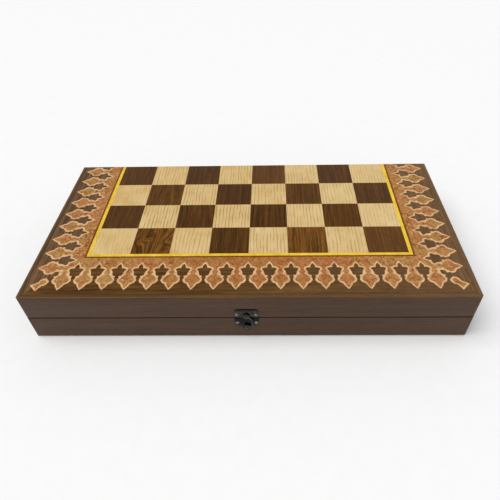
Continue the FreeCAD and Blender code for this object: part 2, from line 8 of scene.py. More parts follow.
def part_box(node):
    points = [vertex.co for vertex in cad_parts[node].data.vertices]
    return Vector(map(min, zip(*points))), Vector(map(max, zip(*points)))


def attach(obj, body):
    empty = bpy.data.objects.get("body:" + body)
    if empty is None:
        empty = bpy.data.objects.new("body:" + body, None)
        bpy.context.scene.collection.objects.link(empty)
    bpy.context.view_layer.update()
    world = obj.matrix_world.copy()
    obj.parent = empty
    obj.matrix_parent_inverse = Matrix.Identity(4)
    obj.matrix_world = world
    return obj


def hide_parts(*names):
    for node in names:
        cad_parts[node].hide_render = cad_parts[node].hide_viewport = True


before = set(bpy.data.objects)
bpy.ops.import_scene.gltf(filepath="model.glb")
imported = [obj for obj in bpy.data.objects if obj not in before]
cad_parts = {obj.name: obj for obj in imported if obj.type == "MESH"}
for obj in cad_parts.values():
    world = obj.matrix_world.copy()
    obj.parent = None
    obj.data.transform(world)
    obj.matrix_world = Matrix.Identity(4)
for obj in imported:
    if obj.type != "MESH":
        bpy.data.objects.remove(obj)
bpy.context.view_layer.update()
print("frame loaded")

mm = 0.001
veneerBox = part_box("lid_walnut_veneer")
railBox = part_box("lid_end_rails")
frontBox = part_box("lid_front_rail")

case = {
    "halfLength": railBox[1].x,
    "rear": railBox[1].y,
    "front": frontBox[0].y,
    "seam": railBox[0].z,
    "top": railBox[1].z,
    "skin": veneerBox[1].z - veneerBox[0].z,
    "rail": frontBox[1].y - frontBox[0].y,
}


def linear(rgb):
    # A paint value given as 0-255 screen numbers, made linear.
    parts = [part / 255 for part in rgb]
    return tuple(part / 12.92 if part < 0.04 else ((part + 0.055) / 1.055) ** 2.4
                 for part in parts)


def paint(rgb):
    return (*linear(rgb), 1.0)


class Term:
    # One socket in a sum: arithmetic on it adds Math nodes.
    def __init__(self, owner, socket):
        self.owner = owner
        self.socket = socket

    def apply(self, operation, first, second=0.0):
        return self.owner.node("ShaderNodeMath", {"operation": operation}, {0: first, 1: second})

    def __add__(self, other):
        return self.apply("ADD", self, other)

    def __radd__(self, other):
        return self.apply("ADD", other, self)

    def __sub__(self, other):
        return self.apply("SUBTRACT", self, other)

    def __rsub__(self, other):
        return self.apply("SUBTRACT", other, self)

    def __mul__(self, other):
        return self.apply("MULTIPLY", self, other)

    def __rmul__(self, other):
        return self.apply("MULTIPLY", other, self)

    def sine(self):
        return self.apply("SINE", self)


class NodeBench:
    # Every node is made here: its kind, its settings, then what its sockets hold.
    def __init__(self, tree):
        self.tree = tree

    def node(self, kind, settings, sockets, out=0):
        made = self.tree.nodes.new(kind)
        for key, value in settings.items():
            if key == "stops":
                ramp = made.color_ramp
                for spot, colour in value[1:-1]:
                    ramp.elements.new(spot)
                for element, (spot, colour) in zip(ramp.elements, value):
                    element.position = spot
                    element.color = paint(colour)
            else:
                setattr(made, key, value)
        for key, value in sockets.items():
            self.feed(made.inputs[key], value)
        return Term(self, made.outputs[out])

    def feed(self, socket, value):
        if isinstance(value, Term):
            self.tree.links.new(value.socket, socket)
        else:
            socket.default_value = value


class Finish(NodeBench):
    def __init__(self, name, **plain):
        self.material = bpy.data.materials.new(name)
        self.material.use_nodes = True
        super().__init__(self.material.node_tree)
        self.shader = self.tree.nodes["Principled BSDF"]
        self.set(**plain)

    def set(self, **sockets):
        for key, value in sockets.items():
            self.feed(self.shader.inputs[key.replace("_", " ")], value)

    def place(self):
        return self.node("ShaderNodeTexCoord", {}, {}, "Object")

    def part(self, place, which):
        # One coordinate: 0 is X, 1 is Y, 2 is Z.
        return self.node("ShaderNodeSeparateXYZ", {}, {0: place}, which)

    def stretch(self, place, scale, turn=(0, 0, 0)):
        sockets = {"Vector": place, "Scale": scale, "Rotation": turn}
        return self.node("ShaderNodeMapping", {}, sockets)

    def noise(self, place, scale=1.0, detail=3.0, rough=0.55, warp=0.0):
        sockets = {"Vector": place, "Scale": scale, "Detail": detail, "Roughness": rough,
                   "Distortion": warp}
        return self.node("ShaderNodeTexNoise", {}, sockets, "Fac")

    def mix(self, amount, low, high):
        sockets = {0: amount, 6: low, 7: high}
        return self.node("ShaderNodeMix", {"data_type": "RGBA"}, sockets, 2)

    def ramp(self, amount, stops):
        return self.node("ShaderNodeValToRGB", {"stops": stops}, {0: amount})

    def spread(self, amount, low, high):
        # Stretches low..high to 0..1, held at both ends.
        sockets = {"Value": amount, "From Min": low, "From Max": high}
        return self.node("ShaderNodeMapRange", {"clamp": True}, sockets)

    def bump(self, height, depth):
        return self.node("ShaderNodeBump", {}, {"Height": height, "Distance": depth})

    def trait(self, name, part):
        # One number of a colour attribute painted on the mesh.
        colour = self.node("ShaderNodeAttribute", {"attribute_name": name}, {}, "Color")
        return self.node("ShaderNodeSeparateColor", {}, {0: colour}, part)

    def nudge(self, place, vector, amount):
        # Moves the pattern by a fixed vector times an amount.
        step = self.node("ShaderNodeVectorMath", {"operation": "SCALE"},
                         {0: vector, "Scale": amount})
        return self.node("ShaderNodeVectorMath", {"operation": "ADD"}, {0: place, 1: step})


def woodFinish(name, look):
    return Finish(name, Specular_IOR_Level=look["specular"], Coat_Weight=look["coat"],
                  Coat_Roughness=look["coatRough"])


def grainScale(along, lengthways, across):
    return tuple(lengthways if axis == along else across for axis in "XYZ")


# Noise scales (along the grain and across it, or X, Y, Z) and how far each bends the pattern.
walnutGrain = {
    "wander": (7, 22), "wanderStep": (0.012, 0.012, 0.006), "curl": (52, 30, 52),
    "curlStep": (0.034, 0.0, 0.0), "broad": 6, "fine": 14, "pores": (110, 1500), "patch": 9.0,
    "stockStep": (0.31, 0.17, 0.53), "paler": (-100 * mm, 250 * mm),
    "lip": (31.4 * mm, 33.8 * mm)}


def toned(finish, place, body, look):
    colour = finish.ramp(body, look["stops"])
    if look.get("lift"):
        # The border was cut from one leaf that pales towards the right.
        paler = finish.spread(finish.part(place, 0), *walnutGrain["paler"]) * look["lift"]
        colour = finish.mix(paler, colour, paint(look["paler"]))
    return colour


def walnut(name, look):
    finish = woodFinish(name, look)
    place = finish.place()
    grain = walnutGrain
    painted = look.get("painted")
    if painted:
        tone = finish.trait("stock", "Red")
        warmth = finish.trait("stock", "Green")
        swirl = finish.trait("stock", "Blue")
        place = finish.nudge(place, grain["stockStep"], tone)

    def grained(spot, lengthways, across, detail, rough=0.55):
        scale = grainScale(look["along"], lengthways, across)
        return finish.noise(finish.stretch(spot, scale), 1.0, detail, rough)

    drift = finish.nudge(place, grain["wanderStep"], grained(place, *grain["wander"], 2.0))
    if painted:
        curl = finish.noise(finish.stretch(place, grain["curl"]), 1.0, 1.0, 0.5, 0.3)
        drift = finish.nudge(drift, grain["curlStep"], curl * swirl)
    broad = grained(drift, grain["broad"], look["broad"], 2.0)
    fine = grained(drift, grain["fine"], look["fine"], 3.0, 0.6)
    pores = grained(drift, *grain["pores"], 2.0)
    streak = finish.spread(broad * 0.35 + fine * 0.65, 0.38, 0.62)
    body = streak * look["contrast"] + (0.5 - look["contrast"] / 2)
    if painted:
        body = body + (tone - 0.5) * look["toneRange"] + (streak - 0.5) * swirl * 0.4
    colour = toned(finish, place, body, look)
    if painted:
        colour = finish.mix((1.0 - warmth) * 0.4, colour, paint(look["mauve"]))
    if look.get("lip"):
        # The polished outer lip takes the border's tone.
        rise = finish.part(place, 2) - case["seam"]
        outer = finish.spread(rise * rise, *(height ** 2 for height in grain["lip"]))
        colour = finish.mix(outer, colour, toned(finish, place, body, look["lip"]))
    patch = finish.noise(place, grain["patch"], 2.0)
    colour = finish.mix(finish.spread(patch, 0.4, 0.65) * 0.2, colour, paint(look["smoke"]))
    flecks = finish.spread(pores, 0.5, 0.66)
    colour = finish.mix(flecks * look["pores"], colour, paint(look["poreColour"]))
    finish.set(Base_Color=colour, Roughness=look["rough"] + (fine - 0.5) * 0.16,
               Normal=finish.bump(fine * 0.6 - flecks * 0.8, look["depth"]))
    return finish.material


ashGrain = {
    "wander": (16, 6, 16), "ripple": (120, 46, 120), "rippleReach": 4.5, "fine": (900, 50, 900),
    "fade": (120, 40, 120), "cloud": 40.0, "stockStep": (0.23, 0.41, 0.0)}


def ash(name, look):
    finish = woodFinish(name, look)
    place = finish.place()
    tone = finish.trait("stock", "Red")
    lined = finish.trait("stock", "Green")
    grain = ashGrain
    place = finish.nudge(place, grain["stockStep"], lined)
    wander = finish.noise(finish.stretch(place, grain["wander"]), 1.0, 2.0)
    ripple = finish.noise(finish.stretch(place, grain["ripple"]), 1.0, 3.0)
    rings = (finish.part(place, 0) * look["rings"] + wander * look["wander"]
             + ripple * grain["rippleReach"]).sine()
    fine = finish.noise(finish.stretch(place, grain["fine"]), 1.0, 3.0)
    fade = finish.noise(finish.stretch(place, grain["fade"]), 1.0, 3.0)
    line = finish.spread(rings, 0.35, 1.0) * finish.spread(fade, 0.36, 0.54) * lined
    cloud = finish.noise(place, grain["cloud"], 3.0)
    colour = finish.mix(finish.spread(cloud, 0.35, 0.65), paint(look["pale"]), paint(look["warm"]))
    colour = finish.mix(tone * 0.6, colour, paint(look["light"]))
    colour = finish.mix(line * look["lineStrength"], colour, paint(look["line"]))
    flecks = finish.spread(fine, 0.52, 0.7)
    colour = finish.mix(flecks * 0.3, colour, paint(look["line"]))
    finish.set(Base_Color=colour, Roughness=look["rough"] + (fine - 0.5) * 0.12,
               Normal=finish.bump(fine * 0.5 - line * 0.5, look["depth"]))
    return finish.material


burlGrain = {
    "sway": 45.0, "swayStep": (0.016, -0.02, 0.0), "mottle": 240.0, "patch": 34.0, "eyes": 150.0,
    "olive": 61.0, "grit": (700, 420, 700), "gritTurn": (0, 0, 0.5)}


def burl(name, look):
    finish = woodFinish(name, look)
    place = finish.place()
    grain = burlGrain
    stir = finish.nudge(place, grain["swayStep"], finish.noise(place, grain["sway"], 2.0))
    mottle = finish.noise(stir, grain["mottle"], 6.0, 0.72, 0.7)
    patch = finish.noise(place, grain["patch"], 2.0)
    cells = finish.node("ShaderNodeTexVoronoi", {"feature": "F1"},
                        {"Vector": stir, "Scale": grain["eyes"]}, "Distance")
    eyes = 1.0 - finish.spread(cells, 0.05, 0.28)
    colour = finish.ramp(mottle, look["stops"])
    colour = finish.mix(finish.spread(patch, 0.4, 0.62) * 0.5, colour, paint(look["rosy"]))
    olive = finish.spread(finish.noise(place, grain["olive"], 2.0), 0.46, 0.64)
    colour = finish.mix(olive * 0.55, colour, paint(look["olive"]))
    across = finish.part(place, 0)
    central = finish.spread(across * across, look["deepTo"] ** 2, 0.0)
    colour = finish.mix(central * 0.4, colour, paint(look["deep"]))
    colour = finish.mix(eyes * 0.55, colour, paint(look["eye"]))
    grit = finish.noise(finish.stretch(place, grain["grit"], grain["gritTurn"]), 1.0, 4.0, 0.7)
    colour = finish.mix(finish.spread(grit, 0.48, 0.68) * 0.4, colour, paint(look["eye"]))
    colour = finish.mix(finish.spread(grit, 0.48, 0.34) * 0.25, colour, paint(look["glow"]))
    finish.set(Base_Color=colour, Roughness=look["rough"] + (mottle - 0.5) * 0.14,
               Normal=finish.bump(mottle - eyes * 0.4, look["depth"]))
    return finish.material


def lineWood(name, look):
    # Narrow strings and outlines: one wood with a faint grain.
    finish = woodFinish(name, look)
    place = finish.place()
    grain = finish.noise(finish.stretch(place, (420, 420, 420)), 1.0, 3.0, 0.6)
    patch = finish.noise(place, 60.0, 2.0)
    colour = finish.ramp(grain * 0.6 + patch * 0.4, look["stops"])
    finish.set(Base_Color=colour, Roughness=look["rough"] + (grain - 0.5) * 0.1,
               Normal=finish.bump(grain, look["depth"]))
    return finish.material


satin = {"specular": 0.12, "rough": 0.34, "coat": 0.0, "coatRough": 0.2, "depth": 0.00004}
walnutLook = {
    **satin, "contrast": 0.58, "broad": 240, "fine": 760, "pores": 0.4, "poreColour": (32, 16, 2),
    "smoke": (66, 42, 8),
    "stops": [(0.0, (42, 22, 0)), (0.3, (68, 39, 1)), (0.6, (94, 56, 6)), (1.0, (138, 88, 26))]}
squareWalnut = walnut("squareWalnut", {
    **walnutLook, "along": "Y", "painted": True, "toneRange": 0.46, "mauve": (96, 65, 40)})
borderLook = {
    **walnutLook, "contrast": 0.6, "broad": 150, "lift": 0.42, "paler": (134, 104, 76),
    "stops": [(0.0, (48, 27, 2)), (0.35, (80, 50, 11)), (0.6, (100, 66, 22)), (1.0, (132, 94, 44))]}
sideLook = {
    **borderLook, "lift": 0.3, "paler": (136, 102, 70),
    "stops": [(0.0, (58, 38, 16)), (0.35, (90, 64, 36)), (0.6, (111, 82, 53)),
              (1.0, (140, 108, 74))]}
borderWalnut = walnut("borderWalnut", {**borderLook, "along": "X"})
sideBorderWalnut = walnut("sideBorderWalnut", {**sideLook, "along": "Y"})
railLook = {
    **borderLook, "lift": 0.0, "specular": 0.2, "coat": 0.04, "coatRough": 0.14, "rough": 0.36,
    "contrast": 0.22, "broad": 120, "fine": 700, "pores": 0.3,
    "stops": [(0.0, (46, 29, 16)), (0.35, (69, 46, 30)), (0.6, (84, 58, 38)), (1.0, (114, 85, 60))]}
railWalnut = walnut("railWalnut", {**railLook, "along": "X", "lip": borderLook})
sideRailWalnut = walnut("sideRailWalnut", {**railLook, "along": "Y", "lip": sideLook})
trayWalnut = walnut("trayWalnut", {**borderLook, "lift": 0.0, "along": "X", "contrast": 0.5})
squareAsh = ash("squareAsh", {
    **satin, "rings": 1500.0, "wander": 20.0, "pale": (218, 190, 134), "warm": (208, 174, 112),
    "light": (228, 202, 152), "line": (138, 98, 46), "lineStrength": 0.75})
pointAsh = lineWood("pointAsh", {
    **satin, "stops": [(0.3, (206, 178, 120)), (0.5, (222, 196, 140)), (0.7, (234, 210, 160))]})
bandBurl = burl("bandBurl", {
    **satin, "stops": [(0.34, (96, 50, 14)), (0.45, (148, 92, 38)), (0.57, (190, 136, 80)),
                       (0.72, (224, 178, 124))],
    "rosy": (188, 116, 74), "olive": (172, 136, 74), "eye": (84, 44, 10), "glow": (232, 184, 132),
    "deep": (160, 86, 30), "deepTo": 0.14})
outlineMaple = lineWood("outlineMaple", {
    **satin, "stops": [(0.34, (180, 134, 86)), (0.48, (212, 170, 122)), (0.64, (228, 190, 144))]})
yellowString = lineWood("yellowString", {
    **satin, "stops": [(0.3, (206, 164, 36)), (0.5, (232, 194, 58)), (0.7, (244, 212, 86))]})
shadeString = lineWood("shadeString", {
    **satin, "stops": [(0.3, (92, 48, 8)), (0.5, (118, 66, 14)), (0.7, (140, 84, 26))]})
stoneBoxwood = walnut("stoneBoxwood", {
    **satin, "along": "X", "coat": 0.4, "coatRough": 0.15, "contrast": 0.6, "pores": 0.15,
    "broad": 130, "fine": 480, "poreColour": (150, 104, 56), "smoke": (204, 160, 104),
    "stops": [(0.0, (190, 146, 90)), (0.4, (216, 176, 118)), (1.0, (236, 206, 156))]})
stoneRosewood = walnut("stoneRosewood", {
    **satin, "along": "X", "coat": 0.4, "coatRough": 0.15, "contrast": 0.9, "pores": 0.5,
    "broad": 130, "fine": 480, "poreColour": (22, 10, 6), "smoke": (52, 26, 16),
    "stops": [(0.0, (30, 14, 8)), (0.45, (62, 30, 18)), (1.0, (104, 56, 34))]})
print("woods mixed")


def metal(name, look):
    finish = Finish(name, Metallic=look["metallic"])
    place = finish.place()
    scratch = finish.noise(finish.stretch(place, look["brush"]), 1.0, 3.0, 0.6)
    worn = finish.spread(finish.noise(place, look["patch"], 4.0, 0.65), look["wornFrom"], 0.72)
    colour = finish.mix(worn, paint(look["dark"]), paint(look["bright"]))
    if look.get("patina"):
        # Painted shadow by height, bottom to top of the plates: a near-black band across the seam
        # down to just above the stud, where the lid plate and hook shade the base plate, and one
        # along the lid plate's top edge.
        height = finish.part(place, 2)
        shade = finish.ramp(height * (1 / case["top"]), look["patina"])
        colour = finish.mix(shade, colour, paint(look["black"]))
    finish.set(Base_Color=colour, Roughness=look["rough"] + (scratch - 0.5) * 0.2 - worn * 0.08,
               Normal=finish.bump(scratch * 0.5 + worn * 0.5, look["depth"]))
    return finish.material


claspLook = {
    "metallic": 0.9, "brush": (900, 300, 900), "patch": 780.0, "wornFrom": 0.48,
    "dark": (44, 43, 37), "bright": (96, 93, 83), "rough": 0.26, "depth": 0.00003}
claspBlack = metal("claspBlack", claspLook)
bare, full = (0, 0, 0), (245, 245, 245)
# The plates' ramp paints shade: near-black bands by height stand in for shadow, not for a finish on
# the metal.
plateBlack = metal("plateBlack", {
    **claspLook, "black": (10, 9, 6),
    "patina": [(0.0, bare), (0.28, bare), (0.36, full), (0.5, full), (0.56, bare), (0.66, bare),
               (0.7, full), (1.0, full)]})
screwBlack = metal("screwBlack", {
    "metallic": 1.0, "brush": (1500, 500, 1500), "patch": 600.0, "wornFrom": 0.4,
    "dark": (84, 80, 74), "bright": (176, 170, 160), "rough": 0.14, "depth": 0.00002})
hingeBrass = metal("hingeBrass", {
    "metallic": 1.0, "brush": (300, 1200, 1200), "patch": 200.0, "wornFrom": 0.4,
    "dark": (176, 134, 66), "bright": (214, 176, 102), "rough": 0.3, "depth": 0.00002})


def dieBone():
    finish = Finish("dieBone", Coat_Weight=0.4)
    place = finish.place()
    cloud = finish.noise(place, 220.0, 3.0)
    colour = finish.ramp(cloud, [(0.3, (222, 212, 184)), (0.6, (238, 231, 208))])
    finish.set(Base_Color=colour, Roughness=0.3 + (cloud - 0.5) * 0.1)
    return finish.material


def pipInk():
    finish = Finish("pipInk")
    place = finish.place()
    cloud = finish.noise(place, 900.0, 3.0)
    finish.set(Base_Color=finish.ramp(cloud, [(0.3, (24, 20, 18)), (0.7, (44, 38, 34))]),
               Roughness=0.4 + (cloud - 0.5) * 0.2)
    return finish.material


# Faces that meet at less than the smooth angle shade as one; edges past the crisp angle are eased.
meshing = {"smooth": 40, "crisp": 35, "merge": 1e-7, "flat": 1e-6}


def pieceFrom(name, solid, material, body, node, smooth=meshing["smooth"]):
    # A finished piece on its body, in place of a CAD node.
    made = bpy.data.meshes.new(name)
    solid.to_mesh(made)
    solid.free()
    piece = bpy.data.objects.new(name, made)
    bpy.context.scene.collection.objects.link(piece)
    made.materials.clear()  # every face back to the first slot
    made.materials.append(material)
    made.shade_smooth()
    made.set_sharp_from_angle(angle=math.radians(smooth))
    # The large faces keep their own direction; only the rounded edges turn.
    even = piece.modifiers.new("even", "WEIGHTED_NORMAL")
    even.keep_sharp = True
    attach(piece, body)
    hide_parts(node)
    return piece


def moved(solid, matrix):
    bmesh.ops.transform(solid, matrix=matrix, verts=solid.verts)
    return solid


def flatSolid(outlines, low, high):
    # Closed outlines of (x, y, sharp) filled and given a thickness. Smooth knots flow through.
    curve = bpy.data.curves.new("outline", "CURVE")
    curve.dimensions = "2D"
    curve.fill_mode = "BOTH"
    curve.resolution_u = 3
    curve.extrude = (high - low) / 2
    for outline in outlines:
        spline = curve.splines.new("BEZIER")
        spline.bezier_points.add(len(outline) - 1)
        count = len(outline)
        for i, knot in enumerate(spline.bezier_points):
            here = Vector((*outline[i][:2], 0))
            before = Vector((*outline[i - 1][:2], 0))
            after = Vector((*outline[(i + 1) % count][:2], 0))
            knot.handle_left_type = knot.handle_right_type = "FREE"
            knot.co = here
            if outline[i][2]:
                knot.handle_left = here + (before - here) / 3
                knot.handle_right = here + (after - here) / 3
            else:
                flow = (after - before).normalized()
                knot.handle_left = here - flow * (here - before).length / 3
                knot.handle_right = here + flow * (after - here).length / 3
        spline.use_cyclic_u = True
    holder = bpy.data.objects.new("outline", curve)
    solid = bmesh.new()
    solid.from_mesh(bpy.data.meshes.new_from_object(holder))
    bpy.data.objects.remove(holder)
    bmesh.ops.remove_doubles(solid, verts=solid.verts, dist=meshing["merge"])
    bmesh.ops.translate(solid, verts=solid.verts, vec=(0, 0, (low + high) / 2))
    bmesh.ops.recalc_face_normals(solid, faces=solid.faces)
    return solid


def joined(first, *others):
    for other in others:
        made = bpy.data.meshes.new("part")
        other.to_mesh(made)
        other.free()
        first.from_mesh(made)
        bpy.data.meshes.remove(made)
    return first


def nodeCopy(node):
    # The CAD node's shape with its triangles merged back into faces.
    solid = bmesh.new()
    solid.from_mesh(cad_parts[node].data)
    bmesh.ops.remove_doubles(solid, verts=solid.verts, dist=meshing["merge"])
    bmesh.ops.dissolve_limit(solid, angle_limit=math.radians(1), verts=solid.verts,
                             edges=solid.edges)
    return solid


def bevelEdges(solid, edges, width, segments=2):
    bmesh.ops.bevel(solid, geom=edges, offset=width, offset_type="OFFSET", segments=segments,
                    profile=0.5, affect="EDGES", material=-1, clamp_overlap=True)


def softened(name, node, material, body, width):
    # CAD shape with a small bevel on every crisp edge.
    solid = nodeCopy(node)
    crisp = [e for e in solid.edges
             if len(e.link_faces) == 2 and e.calc_face_angle() > math.radians(meshing["crisp"])]
    bevelEdges(solid, crisp, width)
    pieceFrom(name, solid, material, body, node)


# The wave between walnut and burl, as (across, out, sharp) in millimetres: across runs from a dark
# leaf's axis to the next burl leaf's axis, out is the distance from the chessboard.
leaf = {
    "square": 46.5,
    "sidePitch": 24.5,
    "frontPitch": 24.4,
    "halfPitch": 12.2,
    "frontShift": 1.3,
    "leaves": 8,
    "walnutEdge": [
        (0, 15.4, True), (1.5, 17.2, False), (2.5, 19.8, False), (2.6, 22.2, True),
        (4.2, 22.1, False), (6.6, 22.7, False), (8.3, 24.2, False), (6.9, 26.8, False),
        (6.0, 30.0, False), (5.5, 32.6, False), (4.0, 34.1, True), (2.6, 34.2, False),
        (1.9, 35.3, False), (2.9, 37.0, True), (2.0, 38.5, False), (1.5, 40.4, False),
        (1.9, 42.4, False), (3.3, 44.5, False), (5.2, 45.9, False), (6.9, 46.7, True),
        (7.7, 48.8, False), (9.5, 51.7, False), (12.2, 55.2, True)],
    "burlEdge": [
        (0, 12.0, True), (1.9, 14.9, False), (3.5, 17.5, False), (4.6, 19.8, True),
        (6.8, 20.3, False), (9.2, 21.5, False), (10.5, 23.9, False), (9.8, 26.1, False),
        (8.9, 28.3, False), (9.4, 30.2, False), (10.3, 31.8, True), (8.9, 32.7, False),
        (7.1, 33.9, False), (5.8, 35.6, True), (5.1, 37.2, False), (3.9, 39.3, False),
        (4.25, 41.8, False), (5.95, 43.6, False), (8.3, 44.9, True), (9.1, 46.9, False),
        (10.4, 49.9, False), (12.2, 52.9, True)],
    "walnutCorner": (6.3, 28.0),
    "burlCorner": (3.6, 25.6),
    "spoolOuter": [(20.4, 6.3, True), (24.9, 4.9, False), (29.4, 3.9, True), (31.0, 4.9, False),
                   (33.2, 5.4, False), (36.0, 4.8, False), (38.6, 3.4, True)],
    "spoolInner": [(22.6, 3.7, True), (25.9, 2.9, False), (29.4, 2.0, True), (31.4, 3.0, False),
                   (33.4, 3.3, False), (36.4, 2.0, True)],
}
strings = {"yellow": 4.0, "shade": 2.3}
board = {"rows": 4, "columns": 8, "edge": 0.12 * mm}


def quarterWave(edge, corner):
    # From the hinge edge down the right side, round the corner, to the middle of the front.
    gridX = 4 * leaf["square"]
    gridY = case["rear"] / mm - 4 * leaf["square"]
    rear = case["rear"] / mm
    half = leaf["halfPitch"]
    sidePitch = leaf["sidePitch"]
    frontPitch = leaf["frontPitch"]
    stretch = sidePitch / 2 / half
    reach, cornerOut = corner
    path = []

    def side(u, v, sharp):
        path.append((gridX + v, rear - u, sharp))

    def front(u, v, sharp):
        path.append((u, gridY - v - leaf["frontShift"], sharp))

    for k in range(leaf["leaves"] + 1):
        start = k * sidePitch
        for u, v, sharp in edge:
            side(start + u * stretch, v, sharp)
        if k < leaf["leaves"]:
            for u, v, sharp in reversed(edge[1:-1]):
                side(start + sidePitch - u * stretch, v, sharp)
    lastSide = (leaf["leaves"] + 0.5) * sidePitch
    lastFront = (leaf["leaves"] + 0.5) * frontPitch
    outer = [knot for knot in edge[:-1] if knot[1] > cornerOut]
    for u, v, sharp in reversed(outer):
        side(lastSide + (half - u) * stretch, v, sharp)
    path.append((lastFront + reach, rear - lastSide - reach, True))
    for u, v, sharp in outer:
        front(lastFront + half - u, v, sharp)
    for k in range(leaf["leaves"], -1, -1):
        start = k * frontPitch
        for u, v, sharp in reversed(edge):
            front(start + u, v, sharp)
        if k > 0:
            for u, v, sharp in edge[1:-1]:
                front(start - u, v, sharp)
    return path


def wholeWave(edge, corner):
    right = quarterWave(edge, corner)
    return right + [(-x, y, sharp) for x, y, sharp in reversed(right[:-1])]


def spool(halfOutline, side):
    # Waisted corner piece on the mitre, measured along the diagonal from the case's corner.
    outline = halfOutline + [(s, -w, sharp) for s, w, sharp in reversed(halfOutline)]
    root = math.sqrt(2)
    return [(side * (case["halfLength"] / mm - (s + w) / root),
             case["front"] / mm + (s - w) / root, sharp) for s, w, sharp in outline]


def metres(outline):
    return [(x * mm, y * mm, sharp) for x, y, sharp in outline]


def sharpLine(*corners):
    return [(x, y, True) for x, y in corners]


def horseshoe(inner, outer):
    # A three-sided string round the board, open at the hinge edge.
    x = 4 * leaf["square"]
    rear = case["rear"] / mm
    y = rear - x
    return sharpLine((x + inner, rear), (x + outer, rear), (x + outer, y - outer),
                     (-x - outer, y - outer), (-x - outer, rear), (-x - inner, rear),
                     (-x - inner, y - inner), (x + inner, y - inner))


# Each square's own stock, hinge row first, left to right. Walnut: brightness, warmth and swirling
# figure. Ash: lightness and how strongly its rings show.
stock = {
    "walnut": [
        [(0.33, 0.4, 0.0), (0.15, 0.3, 0.0), (0.6, 0.0, 0.1), (0.21, 0.15, 0.0)],
        [(0.67, 0.75, 0.3), (0.0, 0.6, 0.0), (0.55, 0.6, 0.1), (0.27, 0.2, 0.0)],
        [(0.39, 0.6, 0.0), (0.3, 0.85, 0.1), (0.18, 0.9, 0.0), (0.45, 0.75, 0.0)],
        [(0.85, 1.0, 1.0), (0.36, 0.85, 0.0), (1.0, 0.8, 0.2), (0.84, 0.0, 0.0)]],
    "ash": [
        [(0.2, 0.6, 0.0), (0.1, 0.65, 0.0), (0.3, 0.55, 0.0), (0.5, 0.5, 0.0)],
        [(0.0, 0.25, 0.0), (0.1, 0.75, 0.0), (0.2, 0.6, 0.0), (0.4, 0.5, 0.0)],
        [(0.2, 0.9, 0.0), (0.1, 0.85, 0.0), (0.4, 0.6, 0.0), (0.7, 0.45, 0.0)],
        [(0.3, 0.3, 0.0), (0.1, 0.6, 0.0), (0.4, 0.75, 0.0), (0.4, 0.65, 0.0)]],
}


def squares(wood, parity, low, high, lit):
    # The squares of one wood, each with its own tone, warmth and figure painted on.
    solid = bmesh.new()
    painted = solid.loops.layers.float_color.new("stock")
    size = leaf["square"] * mm
    halfBoard = (board["columns"] - 1) / 2
    for row in range(board["rows"]):
        for column in range(board["columns"]):
            if (column + row) % 2 != parity:
                continue
            centre = Vector(((column - halfBoard) * size, case["rear"] - (row + 0.5) * size,
                             (low + high) / 2))
            place = Matrix.Translation(centre) @ Matrix.Diagonal((size, size, high - low, 1))
            made = bmesh.ops.create_cube(solid, size=1.0, matrix=place)
            for face in {f for v in made["verts"] for f in v.link_faces}:
                for loop in face.loops:
                    loop[painted] = (*stock[wood][row][column // 2], 1.0)
    upper = [e for e in solid.edges if all(abs(v.co.z - lit) < meshing["flat"] for v in e.verts)]
    bevelEdges(solid, upper, board["edge"], 1)
    return solid


def borderWaveSolid(low, high):
    lipX = veneerBox[1].x / mm
    lipY = veneerBox[0].y / mm
    rear = case["rear"] / mm
    wave = wholeWave(leaf["walnutEdge"], leaf["walnutCorner"])
    rim = sharpLine((-lipX, rear), (-lipX, lipY), (lipX, lipY), (lipX, rear))
    holes = [metres(spool(leaf["spoolOuter"], side)) for side in (-1, 1)]
    return flatSolid([metres(wave + rim)] + holes, low, high)


def outlineSolid(low, high):
    outer = wholeWave(leaf["walnutEdge"], leaf["walnutCorner"])
    inner = wholeWave(leaf["burlEdge"], leaf["burlCorner"])
    rings = [flatSolid([metres(spool(leaf[edge], side)) for edge in ("spoolOuter", "spoolInner")],
                       low, high) for side in (-1, 1)]
    return joined(flatSolid([metres(outer + inner[::-1])], low, high), *rings)


def burlSolid(low, high):
    x = 4 * leaf["square"] + strings["yellow"] + strings["shade"]
    rear = case["rear"] / mm
    y = rear - x
    wave = wholeWave(leaf["burlEdge"], leaf["burlCorner"])
    rim = sharpLine((-x, rear), (-x, y), (x, y), (x, rear))
    cores = [flatSolid([metres(spool(leaf["spoolInner"], side))], low, high) for side in (-1, 1)]
    return joined(flatSolid([metres(wave + rim)], low, high), *cores)


def splitBorder(solid):
    # The walnut border is mitred: front strip with grain along X, side strips along Y.
    corner = Vector((case["halfLength"], case["front"], 0))
    front = solid
    sides = []
    for side in (-1, 1):
        strip = front.copy()
        at = Vector((side * corner.x, corner.y, 0))
        normal = Vector((side, 1, 0)).normalized()
        cutAway(strip, at, -normal)
        cutAway(front, at, normal)
        sides.append(strip)
    return front, joined(sides[0], sides[1])


def cutAway(solid, at, normal):
    # Removes what lies on the normal's side of a plane and closes the cut.
    cut = bmesh.ops.bisect_plane(solid, geom=solid.verts[:] + solid.edges[:] + solid.faces[:],
                                 plane_co=at, plane_no=normal, clear_outer=True, dist=1e-8)
    edges = [e for e in cut["geom_cut"] if isinstance(e, bmesh.types.BMEdge)]
    if edges:
        bmesh.ops.edgenet_fill(solid, edges=edges)


